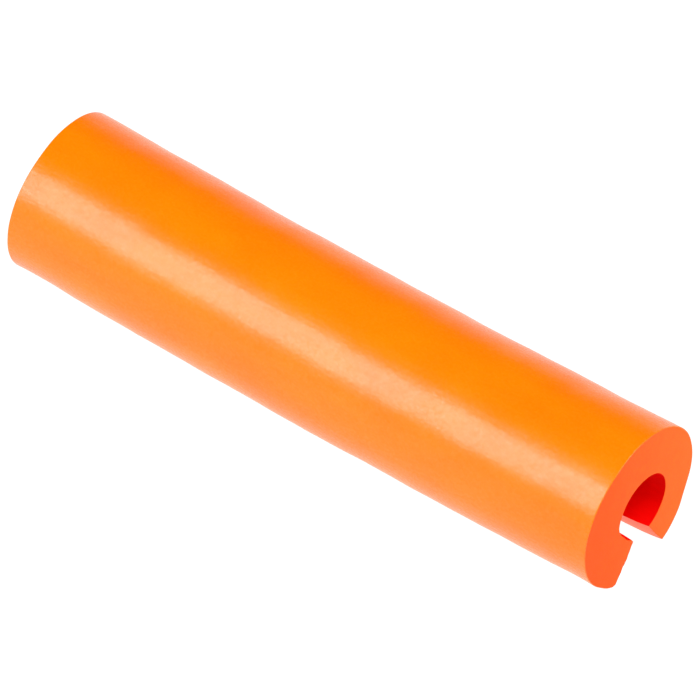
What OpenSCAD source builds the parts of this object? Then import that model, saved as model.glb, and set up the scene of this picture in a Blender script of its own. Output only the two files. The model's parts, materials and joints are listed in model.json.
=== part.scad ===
// Push-on grip sleeve. A thick round tube of soft foam with a bore along its length.
// A V-shaped mouth runs the whole length and narrows to a throat that opens into the bore,
// so the sleeve is sprung sideways over a round shank and closes on it.
// +X runs along the bore, +Z is up and the mouth faces down.
// The origin is on the bore's axis, halfway along. Millimetres and degrees.

/* [Body] */
// Length of the sleeve
body_length = 150; // [60:1:300]
// Outer diameter of the round body
body_d = 36.7; // [34:0.1:40]

/* [Bore] */
// Diameter of the bore, which grips the shank
bore_d = 15.6; // [14:0.1:18]
// How far the bore sits to the +Y side of the body's centre
bore_side = 1.3; // [0:0.1:2]
// How far the bore sits below the body's centre, towards the mouth
bore_drop = 1.3; // [0:0.1:2]

/* [Mouth] */
// How far below the bore's axis the mouth's two walls would meet
apex_drop = 4.2; // [3:0.1:5]
// How far to the +Y side of the bore's axis the two walls would meet
apex_side = 0.35; // [0:0.05:0.8]
// Slope of the mouth's +Y wall, away from straight down
plus_slope = 33; // [28:1:38]
// Slope of the mouth's -Y wall, away from straight down
minus_slope = 37; // [32:1:42]
// How far below the bore's axis the -Y wall ends in a trimmed corner
nose_drop = 8.2; // [8:0.1:9]
// Slope of the trimmed corner, away from straight up
nose_slope = 35; // [30:1:40]

/* [Lips] */
// Radius of the outside of each lip, which is tighter than the body's
lip_r = 12.1; // [10:0.1:14]
// How far the +Y lip springs out past the round body
plus_lip_out = 1.05; // [0:0.05:1.5]
// How far the -Y lip springs out past the round body
minus_lip_out = 0.45; // [0:0.05:1.5]
// Direction of the +Y lip's furthest point, measured from +Y and seen from +X
plus_lip_angle = -56; // [-65:1:-50]
// Direction of the -Y lip's furthest point, measured from +Y and seen from +X
minus_lip_angle = -113; // [-125:1:-105]
// Height of the bore's axis above the flats that the lips stand on
foot_drop = 15.7; // [15:0.1:16]

/* [Hidden] */
$fn = 160;

// The body's centre, seen from the bore's axis
body_centre = [-bore_side, bore_drop];
// Deep enough for the mouth to run out through the bottom of the body
cut_depth = body_d;
// Long enough for the trimmed corner's flat to run out into the bore
nose_length = 2.6;
// The points of the mouth's outline: where its walls meet, their ends, and the trimmed corner
mouth_apex = [apex_side, -apex_drop];
plus_wall_end = mouth_apex + [cut_depth * tan(plus_slope), -cut_depth];
minus_wall_end = mouth_apex + [-cut_depth * tan(minus_slope), -cut_depth];
nose_foot = [apex_side - (nose_drop - apex_drop) * tan(minus_slope), -nose_drop];
nose_top = nose_foot + nose_length * [-sin(nose_slope), cos(nose_slope)];
// Anything that cuts right through reaches this far past both ends
overrun = 1;

// An outline drawn in Y and Z becomes a bar along X, centred on the origin
module bar_along_x(length) {
    rotate([90, 0, 90])
        linear_extrude(height = length, center = true)
            children();
}

// The round outside of one lip, which swells past the body in its direction
module lip_outline(angle, out) {
    rotate(angle)
        translate([body_d / 2 + out - lip_r, 0])
            circle(r = lip_r);
}

// The outside of the sleeve: a round body with two lips, seen from +X
module outside_outline() {
    translate(body_centre) {
        circle(d = body_d);
        lip_outline(plus_lip_angle, plus_lip_out);
        lip_outline(minus_lip_angle, minus_lip_out);
    }
}

// Everything below the flats that the lips stand on
module below_feet_outline() {
    translate([-body_d, -foot_drop - body_d])
        square([2 * body_d, body_d]);
}

// The V-shaped mouth, with the -Y lip's corner trimmed off
module mouth_outline() {
    polygon([mouth_apex, plus_wall_end, minus_wall_end, nose_foot, nose_top]);
}

// The bore that holds the shank
module bore() {
    rotate([0, 90, 0])
        cylinder(d = bore_d, h = body_length + 2 * overrun, center = true);
}

// The whole sleeve is one extruded piece
module grip_sleeve() {
    color("darkorange")
        difference() {
            bar_along_x(body_length)
                difference() {
                    outside_outline();
                    below_feet_outline();
                }
            bar_along_x(body_length + 2 * overrun)
                mouth_outline();
            bore();
        }
}

grip_sleeve();
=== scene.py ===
import json
import math

import bmesh
import bpy
import numpy as np
from mathutils import Matrix, Vector


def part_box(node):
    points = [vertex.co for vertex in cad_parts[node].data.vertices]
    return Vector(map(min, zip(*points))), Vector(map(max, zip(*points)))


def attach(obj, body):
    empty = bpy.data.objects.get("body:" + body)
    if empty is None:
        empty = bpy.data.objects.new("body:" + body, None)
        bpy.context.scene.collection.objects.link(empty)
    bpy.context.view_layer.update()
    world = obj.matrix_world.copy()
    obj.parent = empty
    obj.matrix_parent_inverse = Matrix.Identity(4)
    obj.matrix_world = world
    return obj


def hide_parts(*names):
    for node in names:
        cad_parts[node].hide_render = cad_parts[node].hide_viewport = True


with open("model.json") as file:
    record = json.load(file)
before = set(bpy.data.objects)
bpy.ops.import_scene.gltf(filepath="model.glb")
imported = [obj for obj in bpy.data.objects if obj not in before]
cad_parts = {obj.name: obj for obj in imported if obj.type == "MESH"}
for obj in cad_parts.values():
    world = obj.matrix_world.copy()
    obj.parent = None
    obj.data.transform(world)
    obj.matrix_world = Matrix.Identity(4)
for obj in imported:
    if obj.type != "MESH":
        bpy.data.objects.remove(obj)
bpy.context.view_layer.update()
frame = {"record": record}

MM = 0.001

# ---------------------------------------------------------------------------
# Sizes of the sleeve. Y and Z are measured from the bore's axis, as in the CAD.
# ---------------------------------------------------------------------------

mounts = {m["name"]: m for m in frame["record"]["mounts"]}
bore_r = mounts["shank_bore"]["dims"]["r_mm"] * MM
half_length = mounts["end_face_plus"]["pos_m"][0]
low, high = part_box("grip_sleeve")
body_r = (high.y - low.y) / 2
body_y = (high.y + low.y) / 2
body_z = high.z - body_r
foot_z = low.z

# The lips: the tighter radius of their outsides, how softly they run into the round body,
# how far each springs out, and where
LIP_R = 12.1 * MM
LIP_BLEND = 0.1 * MM
PLUS_LIP_OUT, PLUS_LIP_ANGLE = 1.05 * MM, math.radians(-56)
MINUS_LIP_OUT, MINUS_LIP_ANGLE = 0.45 * MM, math.radians(-113)
# The crease where the +Y lip bends away from the body: its depth, direction and width
CREASE_DEPTH, CREASE_ANGLE, CREASE_WIDTH = 0.3 * MM, math.radians(-20), math.radians(9)
# The V-shaped mouth: where its walls would meet, and their slopes from straight down
MOUTH_APEX = (0.35 * MM, -4.2 * MM)
PLUS_SLOPE, MINUS_SLOPE = math.radians(33), math.radians(37)
# The -Y lip's trimmed corner: its lowest point below the bore's axis, and its slope
NOSE_DROP, NOSE_SLOPE = 8.2 * MM, math.radians(35)

# The rest position of the foam: its middle sags and its ends curl up a little
SAG = (-0.36 * MM, -1.11 * MM)
# The skin stands a little proud of the round on the upper +Y side: by how much, where, how wide
PROUD, PROUD_ANGLE, PROUD_WIDTH = 0.42 * MM, math.radians(38), math.radians(70)
# The soft bore is a little wider than the CAD's, and set a little up and to the +Y side
BORE_WIDER, BORE_SHIFT = 0.15 * MM, (0.22 * MM, 0.1 * MM)
# The bore is pressed in a little beside the -Y lip: how far, in which direction and how wide
PRESS, PRESS_ANGLE, PRESS_WIDTH = 0.5 * MM, math.radians(-149), math.radians(19)
# The -Y lip's nose stands this far from where the CAD has it, along Y and Z
NOSE_SHIFT = (0.3 * MM, 0.35 * MM)
# The lips stand apart at the two ends and close up a little, past a short distance inwards
PLUS_LIP_CLOSES, MINUS_LIP_CLOSES, OPEN_LENGTH = 0.7 * MM, 0.5 * MM, 3.5 * MM
# Tears seen at the +X end, in mm: how far down the wall from the throat, how deep, how tall
# and how long
SEEN_TEARS = [
    (1.9, 0.2, 0.7, 4.0),
    (4.6, -0.28, 0.5, 1.6),
    (5.6, -0.3, 0.35, 1.5),
    (5.9, 0.12, 0.6, 3.0),
    (7.4, -0.15, 0.7, 3.5),
]
# The tears that go on past them: how many, between which shares of the half length, and in mm
# the least and most of the same four sizes
MORE_TEARS, TEAR_SEED = 90, 7
TEAR_PLACE = (-1, 0.9)
TEAR_LEVEL, TEAR_BITE, TEAR_TALL, TEAR_LONG = (0.3, 9.2), (-0.2, 0.42), (0.35, 1.1), (0.8, 5.0)
# The knife's two waves along the cut, as depth, length and start. The second leans, by a radian
# for each KNIFE_LEAN down the wall. Both begin at the +X end and are full this far in from it
KNIFE_WAVES = [(0.16 * MM, 41 * MM, 0.8), (0.08 * MM, 17 * MM, 2.1)]
KNIFE_LEAN = 2 * MM
KNIFE_FULL = 10 * MM
# The tears fade out over these distances: at the throat, and round the lip's outer corner
THROAT_FADE, CORNER_FADE = 0.8 * MM, 0.9 * MM
# The skin's unevenness, in mm: its size, its length along X, its turns round and where it starts
SKIN_WAVES = [(0.05, 47, 2, 0.4), (0.04, 29, 3, 2.2), (0.025, 17, 5, 4.1), (0.015, 9, 8, 1.3)]
# It fades out over this many points of the outline beside each lip
SKIN_FADE_POINTS = 12
# The roughness of the two cut ends: its depth, and how far in from the end it reaches
END_RELIEF, END_RELIEF_REACH = 0.02 * MM, 2 * MM
# Where the moves of the two lips, of the nose and of the bore fade out, as (places, weights): the
# lips' by direction from the body's centre in degrees, the others' by the share of its radius
PLUS_LIP_SPAN = ([-84, -80, -60, -25], [0, 1, 1, 0])
MINUS_LIP_SPAN = ([-175, -120, -92, -88], [0, 1, 1, 0])
NOSE_REACH = ([0.6, 0.95], [1, 0])
BORE_REACH = ([0.55, 0.8], [1, 0])
# How far out of square each end is cut, as a slope along Y and along Z
PLUS_END_TILT = (0.0225, -0.0166)
MINUS_END_TILT = (0.0013, 0.0371)

# Rounding of the long edges and of the rims at the two ends, and how far along the outline the
# two rim radii run into one another
EDGE_SOFTNESS = 0.09 * MM
SKIN_RIM_R, CUT_RIM_R = 0.14 * MM, 0.1 * MM
RIM_EASE = 0.3 * MM

# Mesh density: points around the outside and across the wall, the spacing at a corner and how
# much wider each next gap is, the spacing along the sleeve and the points round a rim
AROUND, ACROSS = 230, 30
FIRST_STEP, STEP_GROWTH = 0.12 * MM, 1.35
LONG_STEP = 1.2 * MM
RIM_STEPS = 4
# The outline is first drawn with points this far apart, then rounded and thinned out
OUTLINE_STEP = 0.05 * MM
# A place that is found by halving is halved this many times
HALVINGS = 60

# The outline is a ring of points. The outside starts it, and the other sides start here
PLUS_WALL_START = AROUND - 1
BORE_START = PLUS_WALL_START + ACROSS - 1
MINUS_WALL_START = BORE_START + AROUND - 1
RING = MINUS_WALL_START + ACROSS - 1

# The slots of the sleeve's four materials
SKIN, CUT, BORE, WALL = range(4)


# ---------------------------------------------------------------------------
# The section, as a closed outline
# ---------------------------------------------------------------------------

def lip_reach(angle, direction, out):
    """Distance from the body's centre to the round outside of a lip, in each direction."""
    stand = body_r + out - LIP_R
    turn = angle - direction
    inside = LIP_R**2 - (stand * np.sin(turn)) ** 2
    reach = stand * np.cos(turn) + np.sqrt(np.maximum(inside, 0))
    return np.where((inside > 0) & (np.cos(turn) > 0), reach, 0)


def outside_radius(angle):
    """Distance from the body's centre to the outside of the sleeve, in each direction."""
    reaches = [
        np.full_like(angle, body_r),
        lip_reach(angle, PLUS_LIP_ANGLE, PLUS_LIP_OUT),
        lip_reach(angle, MINUS_LIP_ANGLE, MINUS_LIP_OUT),
    ]
    swells = sum(np.exp((reach - body_r) / LIP_BLEND) for reach in reaches)
    radius = LIP_BLEND * np.log(swells) + body_r
    radius += PROUD * np.exp(-(((angle - PROUD_ANGLE) / PROUD_WIDTH) ** 4))
    radius -= CREASE_DEPTH * np.exp(-(((angle - CREASE_ANGLE) / CREASE_WIDTH) ** 2))
    # The lips end at the flats they stand on. Above, the sine is held over 0 and nothing is cut
    down = np.maximum(-np.sin(angle), 1e-3)
    return np.minimum(radius, (body_z - foot_z) / down)


def wall_point(slope, depth):
    """A point on a mouth wall, at a depth below the point where the two walls would meet."""
    return np.array([MOUTH_APEX[0] + depth * math.tan(slope), MOUTH_APEX[1] - depth])


def wall_meets_outside(slope):
    """Where a mouth wall comes out through the outside of the sleeve."""
    near, far = 0.0, 2 * body_r
    for _ in range(HALVINGS):
        depth = (near + far) / 2
        y, z = wall_point(slope, depth) - (body_y, body_z)
        if math.hypot(y, z) < outside_radius(np.array([math.atan2(z, y)]))[0]:
            near = depth
        else:
            far = depth
    return wall_point(slope, depth)


def line_meets_bore(start, direction):
    """Where a line from a point outside the bore, towards it, first meets the bore."""
    across = start @ direction
    return start + direction * (-across - math.sqrt(across**2 - start @ start + bore_r**2))


def line(start, end, step):
    """Evenly spaced points from start to end."""
    count = max(2, int(math.hypot(*(end - start)) / step))
    return start + (end - start) * np.linspace(0, 1, count)[:, None]


def arc(centre, radius, start, end, step):
    """Points from one angle to another. The radius is a number, or a function of the angle."""
    count = int(abs(end - start) * body_r / step)
    angle = np.linspace(start, end, count)
    reach = radius(angle) if callable(radius) else radius
    return centre + np.stack([np.cos(angle), np.sin(angle)], 1) * np.reshape(reach, (-1, 1))


def section_sides(step):
    """The section's four sides: outside and bore from -Y lip to +Y lip, and the mouth's walls inwards."""
    body = np.array([body_y, body_z])
    plus_foot, minus_foot = wall_meets_outside(PLUS_SLOPE), wall_meets_outside(-MINUS_SLOPE)
    up_plus = np.array([-math.sin(PLUS_SLOPE), math.cos(PLUS_SLOPE)])
    plus_throat = line_meets_bore(plus_foot, up_plus)
    nose = wall_point(-MINUS_SLOPE, NOSE_DROP + MOUTH_APEX[1])
    minus_throat = line_meets_bore(nose, np.array([-math.sin(NOSE_SLOPE), math.cos(NOSE_SLOPE)]))

    def turn(point, centre, lap=0):
        y, z = point - centre
        return math.atan2(z, y) + lap * math.tau

    outside = arc(body, outside_radius, turn(minus_foot, body, 1), turn(plus_foot, body), step)
    axis = np.zeros(2)
    bore = arc(axis, bore_r, turn(minus_throat, axis, 1), turn(plus_throat, axis), step)
    plus_wall = line(plus_foot, plus_throat, step)
    minus_wall = np.concatenate([line(minus_foot, nose, step), line(nose, minus_throat, step)[1:]])
    return outside, plus_wall, bore, minus_wall


def lengths(points):
    """The distance along a line of points, from the first point to each."""
    return np.concatenate([[0], np.cumsum(np.hypot(*np.diff(points, axis=0).T))])


def resample(points, share):
    """Points at given shares of a line's length."""
    run = lengths(points)
    return np.stack([np.interp(share * run[-1], run, points[:, i]) for i in range(2)], 1)


def graded(length, count):
    """Shares of a length, close together at its ends and even in between."""
    order = np.arange(count - 1)
    steps = FIRST_STEP * STEP_GROWTH ** np.minimum(order, order[::-1])
    small, large = 0.0, length
    for _ in range(HALVINGS):
        most = (small + large) / 2
        if np.minimum(steps, most).sum() < length:
            small = most
        else:
            large = most
    run = np.concatenate([[0], np.cumsum(np.minimum(steps, most))])
    return run / run[-1]


def softened(loop, softness, step):
    """A closed loop of evenly spaced points with its corners rounded off."""
    for _ in range(int(2 * (softness / step) ** 2)):
        loop = (np.roll(loop, 1, 0) + 2 * loop + np.roll(loop, -1, 0)) / 4
    return loop


def section_outline():
    """The section as a closed loop of points: outside, +Y wall, bore and -Y wall."""
    outside, plus_wall, bore, minus_wall = section_sides(OUTLINE_STEP)
    sides = [outside, plus_wall, bore[::-1], minus_wall[::-1]]
    even = []
    for side in sides:
        count = int(lengths(side)[-1] / OUTLINE_STEP)
        even.append(resample(side, np.arange(count) / count))
    starts = np.cumsum([0] + [len(side) for side in even])
    loop = softened(np.concatenate(even), EDGE_SOFTNESS, OUTLINE_STEP)
    loop = np.concatenate([loop, loop[:1]])
    around = graded(lengths(outside)[-1], AROUND)
    across = graded(lengths(plus_wall)[-1], ACROSS)
    shares = [around, across, 1 - around[::-1], 1 - across[::-1]]
    parts = [
        resample(loop[starts[i]:starts[i + 1] + 1], shares[i])[:-1] for i in range(4)
    ]
    return np.concatenate(parts)


# ---------------------------------------------------------------------------
# The sleeve: the outline drawn out along X, with rounded rims and filled ends
# ---------------------------------------------------------------------------

def inward_normals(loop):
    """The direction into the foam, at each point of a closed loop."""
    along = np.roll(loop, -1, 0) - np.roll(loop, 1, 0)
    along /= np.hypot(*along.T)[:, None]
    return np.stack([-along[:, 1], along[:, 0]], 1) * winding(loop)


def winding(loop):
    """1 for a loop that runs anticlockwise, -1 for one that runs clockwise."""
    y, z = loop.T
    return math.copysign(1, (y * np.roll(z, -1) - z * np.roll(y, -1)).sum())


def skin_unevenness(x, angle):
    """How far the moulded skin stands out from its true form, in metres."""
    return MM * sum(
        size * np.sin(math.tau * x / (period * MM) + turns * angle + start)
        for size, period, turns, start in SKIN_WAVES
    )


def wall_tears(x, down):
    """How deep the knife has torn the -Y wall, at each place along it and down it."""
    rng = np.random.default_rng(TEAR_SEED)
    inside = np.clip((half_length - x) / KNIFE_FULL, 0, 1)
    depth = 0
    for (size, period, start), lean in zip(KNIFE_WAVES, (0, down / KNIFE_LEAN)):
        depth = depth + size * inside * np.sin(math.tau * x / period + start + lean)
    tears = [(half_length, *tear) for tear in SEEN_TEARS]
    for _ in range(MORE_TEARS):
        at = rng.uniform(*TEAR_PLACE) * half_length
        shape = [rng.uniform(*span) for span in (TEAR_LEVEL, TEAR_BITE, TEAR_TALL, TEAR_LONG)]
        tears.append((at, *shape))
    for at, level, bite, tall, long in tears:
        spread = ((x - at) / (long * MM)) ** 2 + ((down - level * MM) / (tall * MM)) ** 2
        depth = depth + bite * MM * np.exp(-spread)
    return depth


def end_relief(y, z):
    """The slight roughness of the cut ends: two waves that wander through one another."""
    slow = np.sin(y / (1.9 * MM) + 0.5 * np.sin(z / (2.6 * MM)))
    quick = np.sin(z / (1.1 * MM) + y / (3.1 * MM))
    return END_RELIEF * (slow + 0.6 * quick)


def rim_pull(loop, on_outside):
    """How far, and which way, each point of the section is drawn in where it ends in a rim."""
    spacing = np.hypot(*(np.roll(loop, -1, 0) - loop).T)
    place = np.cumsum(spacing) - spacing
    apart = abs(place[:, None] - place[None])
    apart = np.minimum(apart, spacing.sum() - apart)
    weight = np.exp(-0.5 * (apart / RIM_EASE) ** 2) * (spacing + np.roll(spacing, 1))
    weight /= weight.sum(1, keepdims=True)
    radii = np.where(on_outside, SKIN_RIM_R, CUT_RIM_R)
    return weight @ (inward_normals(loop) * radii[:, None])


def sleeve_vertices(loop):
    """Rings of points along the sleeve. Each ring is the section, drawn in at the rims."""
    index = np.arange(RING)
    inward = inward_normals(loop)
    on_outside = index <= PLUS_WALL_START
    pull = rim_pull(loop, on_outside)
    rim_r = np.hypot(*pull.T)

    # The rims take a little more than the skin's rim radius at each end
    span = half_length - 1.5 * SKIN_RIM_R
    count = int(2 * half_length / LONG_STEP)
    stations = span * (2 * graded(2 * span, count) - 1)
    rim_turns = np.linspace(0, math.pi / 2, RIM_STEPS)
    rims = [(half_length - rim_r * (1 - math.sin(a)), 1 - math.cos(a)) for a in rim_turns]
    rings = [(-x, drawn_in) for x, drawn_in in rims[::-1]]
    rings += [(np.full(RING, x), 0) for x in stations]
    rings += rims

    # The unevenness of the skin fades out at the lips
    angle = np.arctan2(loop[:, 1] - body_z, loop[:, 0] - body_y)
    from_lips = np.minimum(index, PLUS_WALL_START - index) / SKIN_FADE_POINTS
    skin_weight = np.where(on_outside, np.clip(from_lips, 0, 1), 0)
    # The tears fade out at the throat and just round the lip's corner
    down = np.hypot(*(loop - loop[MINUS_WALL_START]).T)
    from_corner = np.hypot(*(loop - loop[0]).T)
    tear_weight = np.where(
        index >= MINUS_WALL_START,
        np.clip(down / THROAT_FADE, 0, 1),
        np.where(index < AROUND // 2, np.exp(-((from_corner / CORNER_FADE) ** 2)), 0),
    )
    into_lip = np.array([-math.cos(MINUS_SLOPE), math.sin(MINUS_SLOPE)])

    placed = []
    for x, drawn_in in rings:
        dip = -skin_weight * skin_unevenness(x, angle)
        bite = tear_weight * wall_tears(x, down)
        section = loop + pull * drawn_in + inward * dip[:, None] + into_lip * bite[:, None]
        placed.append(np.column_stack([x, section]))
    return np.array(placed)


def end_grid(ring):
    """The points that fill one end, between its outside, its bore and the mouth's two walls."""
    outside = ring[:PLUS_WALL_START + 1]
    plus_wall = ring[PLUS_WALL_START:BORE_START + 1]
    bore = ring[BORE_START:MINUS_WALL_START + 1][::-1]
    minus_wall = np.concatenate([ring[MINUS_WALL_START:], ring[:1]])[::-1]
    s = (lengths(outside[:, 1:]) / lengths(outside[:, 1:])[-1])[:, None, None]
    t = (lengths(plus_wall[:, 1:]) / lengths(plus_wall[:, 1:])[-1])[None, :, None]
    ruled = (1 - t) * outside[:, None] + t * bore[:, None]
    crossed = (1 - s) * minus_wall[None] + s * plus_wall[None]
    corners = ((1 - s) * ((1 - t) * outside[0] + t * bore[0])
               + s * ((1 - t) * outside[-1] + t * bore[-1]))
    return ruled + crossed - corners


def ring_index(s, t):
    """The place in a ring of a point on the edge of the end grid."""
    last_s, last_t = AROUND - 1, ACROSS - 1
    if t == 0:
        return s
    if s == last_s:
        return PLUS_WALL_START + t
    if t == last_t:
        return BORE_START + last_s - s
    return MINUS_WALL_START + last_t - t


def soft_moves(x, y, z):
    """How far the lips, the -Y lip's nose and the bore have moved from the plain section."""
    off_y, off_z = y - body_y, z - body_z
    direction = np.degrees(np.arctan2(off_z, off_y))
    plus_lip = np.interp(direction, *PLUS_LIP_SPAN)
    minus_lip = np.interp(direction, *MINUS_LIP_SPAN)
    reach = np.hypot(off_y, off_z) / body_r
    near_bore = np.interp(reach, *BORE_REACH)
    nose = minus_lip * np.interp(reach, *NOSE_REACH)
    bore = near_bore * (1 - nose)

    closing = 1 - np.exp(-(half_length - np.minimum(abs(x), half_length)) / OPEN_LENGTH)
    press = PRESS * np.exp(-(((np.arctan2(z, y) - PRESS_ANGLE) / PRESS_WIDTH) ** 2))
    outwards = near_bore / np.maximum(np.hypot(y, z), bore_r / 2)
    swell = (BORE_WIDER * (1 - nose) - press) * outwards
    move_y = closing * (MINUS_LIP_CLOSES * minus_lip - PLUS_LIP_CLOSES * plus_lip)
    move_y = move_y + NOSE_SHIFT[0] * nose + BORE_SHIFT[0] * bore + swell * y
    move_z = NOSE_SHIFT[1] * nose + BORE_SHIFT[1] * bore + swell * z
    return move_y, move_z


def end_tilt(tilt, y, z):
    """How far an end that is cut out of square leans along X."""
    return tilt[0] * (y - body_y) + tilt[1] * (z - body_z)


def settle(points):
    """Bends the straight sleeve to its rest position and tilts its two cut ends."""
    x, y, z = points.T
    along = x / half_length
    middle = 2 / 3 - along**2
    plus = (1 + along) / 2
    tilt = plus * end_tilt(PLUS_END_TILT, y, z) + (1 - plus) * end_tilt(MINUS_END_TILT, y, z)
    near_end = np.clip(1 - (half_length - abs(x)) / END_RELIEF_REACH, 0, 1)
    move_y, move_z = soft_moves(x, y, z)
    y, z = y + move_y, z + move_z
    x = x + tilt + near_end * end_relief(y, z)
    return np.column_stack([x, y + SAG[0] * middle, z + SAG[1] * middle])


def side_faces(ring_count):
    """The faces between neighbouring rings, and the material slot of each."""
    slots = np.full(RING, CUT)
    slots[:PLUS_WALL_START] = SKIN
    slots[PLUS_WALL_START:BORE_START] = WALL
    slots[BORE_START:MINUS_WALL_START] = BORE
    faces, finishes = [], []
    for j in range(ring_count - 1):
        on_rim = j < RIM_STEPS - 2 or j > ring_count - RIM_STEPS
        here, there = j * RING, (j + 1) * RING
        for k in range(RING):
            k2 = (k + 1) % RING
            faces.append((here + k, here + k2, there + k2, there + k))
            finishes.append(CUT if on_rim and slots[k] != SKIN else slots[k])
    return faces, finishes


def end_faces(ring, base):
    """The faces that fill one end, between its ring and its inner points, which start at base."""
    last_s, last_t = AROUND - 1, ACROSS - 1

    def at(s, t):
        if 0 < s < last_s and 0 < t < last_t:
            return base + (s - 1) * (last_t - 1) + (t - 1)
        return ring * RING + ring_index(s, t) % RING

    return [
        (at(s, t), at(s + 1, t), at(s + 1, t + 1), at(s, t + 1))
        for s in range(last_s)
        for t in range(last_t)
    ]


def make_sleeve():
    """The sleeve, as one closed mesh."""
    rings = sleeve_vertices(section_outline())
    points = [rings.reshape(-1, 3)]
    faces, finishes = side_faces(len(rings))
    base = len(points[0])
    for ring in (0, len(rings) - 1):
        inner = end_grid(rings[ring])[1:-1, 1:-1].reshape(-1, 3)
        points.append(inner)
        faces += end_faces(ring, base)
        base += len(inner)
    finishes += [CUT] * (len(faces) - len(finishes))

    mesh = bpy.data.meshes.new("grip_sleeve_foam")
    mesh.from_pydata(settle(np.concatenate(points)).tolist(), [], faces)
    mesh.polygons.foreach_set("material_index", finishes)
    mesh.polygons.foreach_set("use_smooth", [True] * len(faces))
    mesh.update()
    piece = bpy.data.objects.new("grip_sleeve_foam", mesh)
    bpy.context.scene.collection.objects.link(piece)
    face_outwards(mesh)
    return piece


def face_outwards(mesh):
    """Turns every face's normal out of the foam."""
    work = bmesh.new()
    work.from_mesh(mesh)
    bmesh.ops.recalc_face_normals(work, faces=work.faces)
    work.to_mesh(mesh)
    work.free()


# ---------------------------------------------------------------------------
# Materials
# ---------------------------------------------------------------------------

class Nodes:
    """A short way to lay out one material's nodes."""

    def __init__(self, name):
        self.material = bpy.data.materials.new(name)
        self.material.use_nodes = True
        self.tree = self.material.node_tree
        self.shader = self.tree.nodes["Principled BSDF"]
        self.place = self.add("ShaderNodeTexCoord").outputs["Object"]

    def add(self, kind, **settings):
        """A new node, with its settings."""
        node = self.tree.nodes.new(kind)
        for name, value in settings.items():
            setattr(node, name, value)
        return node

    def link(self, out, into):
        """Joins one node's output to another's input."""
        self.tree.links.new(out, into)

    def noise(self, per_mm, detail=2.0, roughness=0.5):
        """Noise with this many features per millimetre along X, Y and Z."""
        mapping = self.add("ShaderNodeMapping")
        mapping.inputs["Scale"].default_value = [n / MM for n in per_mm]
        self.link(self.place, mapping.inputs["Vector"])
        noise = self.add("ShaderNodeTexNoise")
        for name, value in (("Scale", 1.0), ("Detail", detail), ("Roughness", roughness)):
            noise.inputs[name].default_value = value
        self.link(mapping.outputs["Vector"], noise.inputs["Vector"])
        return noise.outputs["Fac"]

    def cells(self, per_mm):
        """Distance to the nearest of many scattered points, with this many per millimetre."""
        mapping = self.add("ShaderNodeMapping")
        mapping.inputs["Scale"].default_value = [per_mm / MM] * 3
        self.link(self.place, mapping.inputs["Vector"])
        cells = self.add("ShaderNodeTexVoronoi")
        cells.inputs["Scale"].default_value = 1.0
        self.link(mapping.outputs["Vector"], cells.inputs["Vector"])
        return cells.outputs["Distance"]

    def ramp(self, value, stops):
        """A colour or grey that follows a value, through (place, colour) stops."""
        ramp = self.add("ShaderNodeValToRGB")
        elements = ramp.color_ramp.elements
        while len(elements) < len(stops):
            elements.new(0.5)
        for element, (place, colour) in zip(elements, stops):
            element.position = place
            rgb = colour if hasattr(colour, "__len__") else (colour, colour, colour)
            element.color = (*rgb, 1)
        self.link(value, ramp.inputs["Fac"])
        return ramp.outputs["Color"]

    def maths(self, operation, *values):
        """A sum on numbers and node outputs."""
        node = self.add("ShaderNodeMath", operation=operation)
        for value, socket in zip(values, node.inputs):
            if hasattr(value, "links"):
                self.link(value, socket)
            else:
                socket.default_value = value
        return node.outputs["Value"]

    def bump(self, height, depth, under=None):
        """Relief of this depth in metres, on top of an earlier relief if there is one."""
        bump = self.add("ShaderNodeBump")
        bump.inputs["Distance"].default_value = depth
        self.link(height, bump.inputs["Height"])
        if under:
            self.link(under, bump.inputs["Normal"])
        return bump.outputs["Normal"]

    def finish(self, colour, roughness, normal, specular):
        """Joins up the shader. The specular level is a number, or follows a node."""
        self.link(colour, self.shader.inputs["Base Color"])
        self.link(roughness, self.shader.inputs["Roughness"])
        self.link(normal, self.shader.inputs["Normal"])
        if hasattr(specular, "links"):
            self.link(specular, self.shader.inputs["Specular IOR Level"])
        else:
            self.shader.inputs["Specular IOR Level"].default_value = specular
        return self.material


def skin_material():
    """The satin outside: a fine grain, faint lines along the sleeve and slight mottling."""
    n = Nodes("orange_foam_skin")
    mottle = n.noise((0.05, 0.12, 0.12), detail=3)
    lines = n.noise((0.03, 0.6, 0.6), detail=2)
    grain = n.noise((1.0, 1.25, 1.25), detail=3, roughness=0.55)
    speckle = n.noise((1.3, 2.4, 2.4), detail=2)
    shade = n.maths("ADD", mottle, n.maths("MULTIPLY_ADD", speckle, 0.7, -0.35))
    colour = n.ramp(shade, [(0.2, (1.0, 0.168, 0.0002)), (0.8, (1.0, 0.206, 0.0002))])
    roughness = n.ramp(grain, [(0.25, 0.24), (0.75, 0.31)])
    relief = n.bump(lines, 0.04 * MM)
    relief = n.bump(grain, 0.04 * MM, relief)
    specular = n.ramp(speckle, [(0.3, 0.23), (0.7, 0.43)])
    return n.finish(colour, roughness, relief, specular)


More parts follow.
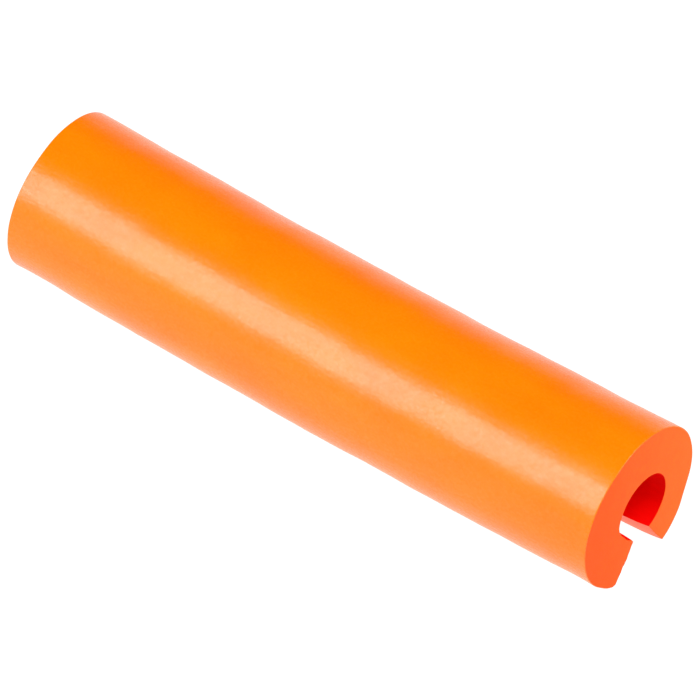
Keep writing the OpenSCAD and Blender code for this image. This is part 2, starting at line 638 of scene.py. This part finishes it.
def cut_material(name, matte, satin, specular):
    """Cut foam: fine-pored, with painted light that makes it a little paler and pinker towards +Y. Its
    roughness runs from satin to matte.
    """
    n = Nodes(name)
    mottle = n.noise((0.5, 0.5, 0.5), detail=4, roughness=0.6)
    pores = n.cells(3.2)
    fine = n.noise((2.6, 2.6, 2.6), detail=2)
    sides = n.add("ShaderNodeSeparateXYZ")
    n.link(n.place, sides.inputs["Vector"])
    # Painted light: the shade rises by 0.03 for each millimetre towards +Y, as if more light fell on the
    # +Y side
    across = n.maths("MULTIPLY_ADD", sides.outputs["Y"], 0.03 / MM, 0.42)
    wander = n.maths("MULTIPLY_ADD", mottle, 0.5, -0.25)
    speckle = n.maths("MULTIPLY_ADD", fine, 1.2, -0.6)
    shade = n.maths("ADD", n.maths("ADD", across, wander), speckle)
    # Painted light: the paler, pinker end of this ramp lies towards +Y
    colour = n.ramp(shade, [(0.0, (1.0, 0.094, 0.001)), (1.0, (1.0, 0.156, 0.011))])
    roughness = n.ramp(fine, [(0.3, satin), (0.7, matte)])
    relief = n.bump(pores, 0.03 * MM)
    relief = n.bump(fine, 0.03 * MM, relief)
    return n.finish(colour, roughness, relief, specular)


def bore_painted_shade_material():
    """The inside of the bore: painted shade, a darker and far redder colour than the skin for the shade
    and red bounced light inside it, with lines drawn along it.
    """
    n = Nodes("orange_foam_bore_painted_shade")
    mottle = n.noise((0.06, 0.4, 0.4), detail=3)
    lines = n.noise((0.03, 2.0, 2.0), detail=2)
    # Painted shade: the bore's colour is darker and far redder than the skin's orange
    colour = n.ramp(mottle, [(0.3, (0.87, 0.001, 0.0006)), (0.7, (0.93, 0.0015, 0.0008))])
    roughness = n.ramp(lines, [(0.3, 0.45), (0.7, 0.6)])
    return n.finish(colour, roughness, n.bump(lines, 0.03 * MM), specular=0.03)


# The floor is a light table with a low wall all round, so the sleeve casts no shadow on it.
# It glows white out to GLOW_R, and from DIM_R on it and the wall glow a little less.
FLOOR_GLOW, FAR_GLOW = 1.0, 0.7
GLOW_R, DIM_R = 0.6, 1.0
# Rings of points on the flat part, then where the sweep starts, its radius and the wall's top,
# and the number of points round each ring and up the sweep
FLAT_RINGS = (0.4, 0.9)
COVE_FLAT_R, COVE_R, COVE_HEIGHT = 2.1, 0.25, 0.64
COVE_SIDES, SWEEP_POINTS = 96, 10


def floor_material():
    """The pale floor and wall, whose glow follows the distance from the sleeve."""
    n = Nodes("pale_floor")
    grain = n.noise((0.02, 0.02, 0.02), detail=2)
    colour = n.ramp(grain, [(0.3, 0.12), (0.7, 0.125)])
    distance = n.add("ShaderNodeVectorMath", operation="LENGTH")
    n.link(n.place, distance.inputs[0])
    glow = n.ramp(distance.outputs["Value"], [(GLOW_R, FLOOR_GLOW), (DIM_R, FAR_GLOW)])
    n.shader.inputs["Emission Color"].default_value = (1, 1, 1, 1)
    n.link(glow, n.shader.inputs["Emission Strength"])
    roughness = n.ramp(grain, [(0.3, 0.6), (0.7, 0.7)])
    return n.finish(colour, roughness, n.bump(grain, 0.02 * MM), specular=0.2)


# ---------------------------------------------------------------------------
# Floor, light and camera
# ---------------------------------------------------------------------------

def make_floor(height):
    """A flat round floor whose edge sweeps up all round into a low wall."""
    profile = [(r, 0) for r in FLAT_RINGS]
    for a in np.radians(np.linspace(0, 90, SWEEP_POINTS)):
        profile.append((COVE_FLAT_R + COVE_R * math.sin(a), COVE_R * (1 - math.cos(a))))
    profile.append((COVE_FLAT_R + COVE_R, COVE_HEIGHT))
    points, faces = [(0, 0, 0)], []
    for r, z in profile:
        turns = np.arange(COVE_SIDES) / COVE_SIDES * math.tau
        points += [(r * math.cos(a), r * math.sin(a), z) for a in turns]
    for k in range(COVE_SIDES):
        k2 = (k + 1) % COVE_SIDES
        faces.append((0, 1 + k, 1 + k2))
        for ring in range(len(profile) - 1):
            low_ring, high_ring = 1 + ring * COVE_SIDES, 1 + (ring + 1) * COVE_SIDES
            faces.append((low_ring + k, high_ring + k, high_ring + k2, low_ring + k2))
    mesh = bpy.data.meshes.new("floor")
    mesh.from_pydata(points, [], faces)
    mesh.polygons.foreach_set("use_smooth", [True] * len(faces))
    mesh.materials.append(floor_material())
    floor = bpy.data.objects.new("floor", mesh)
    floor.location.z = height
    bpy.context.scene.collection.objects.link(floor)


def toward(azimuth, elevation):
    """The direction to something that far round from -Y towards +X, and that far up."""
    a, e = math.radians(azimuth), math.radians(elevation)
    return Vector((math.sin(a) * math.cos(e), -math.cos(a) * math.cos(e), math.sin(e)))


# The soft boxes: where each stands round from -Y and up, in degrees, how far off, how wide,
# its power in watts, and its height as a share of its width
SOFT_BOXES = [
    ("key", -30, 36.5, 1.2, 0.55, 5.6, 0.9),
    ("low_key", -30, 24, 1.2, 0.55, 3.8, 0.5),
    ("high_key", -30, 46, 1.2, 0.55, 3.2, 0.5),
    ("side_fill", 100, 60, 1.3, 0.9, 13.7, 1.0),
    ("back_fill", 140, 55, 1.3, 0.9, 4.1, 1.0),
]


def soft_light(name, azimuth, elevation, distance, width, power, shape):
    """A soft box that faces the sleeve."""
    light = bpy.data.lights.new(name, "AREA")
    light.shape = "RECTANGLE"
    light.size, light.size_y = width, width * shape
    light.energy = power
    lamp = bpy.data.objects.new(name, light)
    direction = toward(azimuth, elevation)
    lamp.location = direction * distance
    lamp.rotation_euler = direction.to_track_quat("Z", "Y").to_euler()
    bpy.context.scene.collection.objects.link(lamp)


def make_light():
    """The soft boxes, in a room that is otherwise dark but for the floor's glow."""
    world = bpy.data.worlds.new("studio")
    world.use_nodes = True
    world.node_tree.nodes["Background"].inputs["Strength"].default_value = 0
    bpy.context.scene.world = world
    for box in SOFT_BOXES:
        soft_light(*box)


# The photograph's view: where the camera stands, how it is turned, and its long lens
CAMERA_AZIMUTH, CAMERA_ELEVATION, CAMERA_ROLL = 35.82, 46.19, 1.31
CAMERA_DISTANCE = 1.5902
CAMERA_AIM = Vector((0.53, 0.17, -0.17)) * MM
LENS_MM, SENSOR_MM = 392.5, 36.0


def make_camera():
    """The camera at the photograph's view, rolled a little about its own line of sight."""
    data = bpy.data.cameras.new("camera")
    data.lens, data.sensor_width = LENS_MM, SENSOR_MM
    data.clip_start, data.clip_end = 0.05, 20
    camera = bpy.data.objects.new("camera", data)
    back = toward(CAMERA_AZIMUTH, CAMERA_ELEVATION)
    right = Vector((0, 0, 1)).cross(back).normalized()
    up = back.cross(right)
    turn = math.radians(CAMERA_ROLL)
    axes = [math.cos(turn) * right + math.sin(turn) * up,
            math.cos(turn) * up - math.sin(turn) * right, back]
    camera.matrix_world = Matrix.Translation(CAMERA_AIM + back * CAMERA_DISTANCE) @ Matrix(
        axes).transposed().to_4x4()
    bpy.context.scene.collection.objects.link(camera)
    bpy.context.scene.camera = camera


sleeve = make_sleeve()
cut_foam = cut_material("orange_foam_cut", matte=0.85, satin=0.7, specular=0.2)
smooth_wall = cut_material("orange_foam_wall", matte=0.5, satin=0.4, specular=0.3)
for material in (skin_material(), cut_foam, bore_painted_shade_material(), smooth_wall):
    sleeve.data.materials.append(material)
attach(sleeve, "root")
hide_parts("grip_sleeve")

make_floor(min(v.co.z for v in sleeve.data.vertices))
make_light()
make_camera()
bpy.context.scene.view_settings.view_transform = "Standard"
